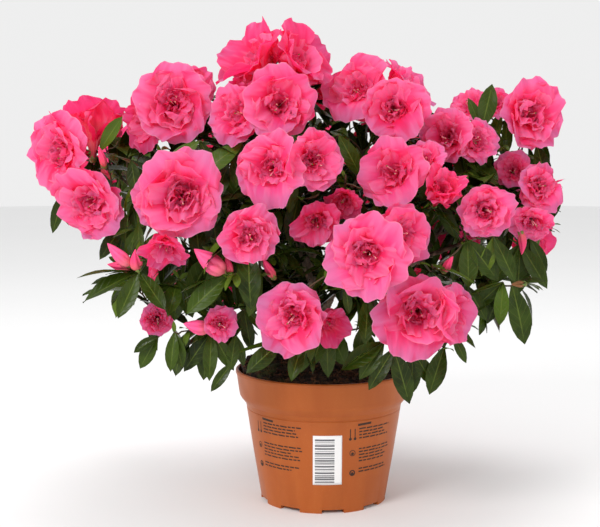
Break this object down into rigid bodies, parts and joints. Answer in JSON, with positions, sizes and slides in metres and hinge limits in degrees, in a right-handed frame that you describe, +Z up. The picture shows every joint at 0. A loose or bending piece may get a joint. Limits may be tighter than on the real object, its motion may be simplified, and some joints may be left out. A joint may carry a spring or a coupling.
{
  "type": "potted azalea shrub",
  "caption": "Double-flowered pink azalea shrub in a round plastic nursery pot: short woody stem, spreading boughs, masses of leaves and ruffled blossom",
  "frame": {"origin": "centre of the pot's flat underside, on the surface the pot stands on", "axes": "+Z up along the pot's axis; +X to the right and -Y out of the shrub's front, along its wide face"},
  "size_m": [0.3848, 0.3047, 0.3484],
  "materials": {
    "pot": "terracotta-coloured moulded plastic, satin",
    "soil": "moist peat",
    "bark": "thin grey-brown bark",
    "foliage": "leathery leaves, satin",
    "blossom": "thin soft petals",
    "label": "smooth plain sticker"
  },
  "bodies": {
    "root": {"bough_back_left": "bark", "bough_back_mid": "bark", "bough_back_mid_right": "bark", "bough_centre": "bark", "bough_far_right": "bark", "bough_front": "bark", "bough_left": "bark", "bough_low_left_front": "bark", "bough_top": "bark", "branch_back_far_right": "bark", "branch_back_low": "bark", "branch_back_low_left": "bark", "branch_back_low_right": "bark", "branch_back_right": "bark", "branch_back_top": "bark", "branch_back_top_left": "bark", "branch_centre_left": "bark", "branch_centre_right": "bark", "branch_far_right_upper": "bark", "branch_low_front": "bark", "branch_low_front_right": "bark", "branch_low_left": "bark", "branch_low_right": "bark", "branch_mid_left": "bark", "branch_right_upper": "bark", "branch_upper_centre": "bark", "branch_upper_left": "bark", "branch_upper_right": "bark", "foliage_back_far_right": "foliage", "foliage_back_left": "foliage", "foliage_back_low": "foliage", "foliage_back_low_left": "foliage", "foliage_back_low_right": "foliage", "foliage_back_mid": "foliage", "foliage_back_mid_right": "foliage", "foliage_back_right": "foliage", "foliage_back_top": "foliage", "foliage_back_top_left": "foliage", "foliage_centre": "foliage", "foliage_centre_left": "foliage", "foliage_centre_right": "foliage", "foliage_far_right": "foliage", "foliage_far_right_upper": "foliage", "foliage_front": "foliage", "foliage_left": "foliage", "foliage_low_front": "foliage", "foliage_low_front_right": "foliage", "foliage_low_left": "foliage", "foliage_low_left_front": "foliage", "foliage_low_right": "foliage", "foliage_mid_left": "foliage", "foliage_right_upper": "foliage", "foliage_top": "foliage", "foliage_upper_centre": "foliage", "foliage_upper_left": "foliage", "foliage_upper_right": "foliage", "pot": "pot", "soil": "soil", "stem": "bark"}
  },
  "joints": []
}
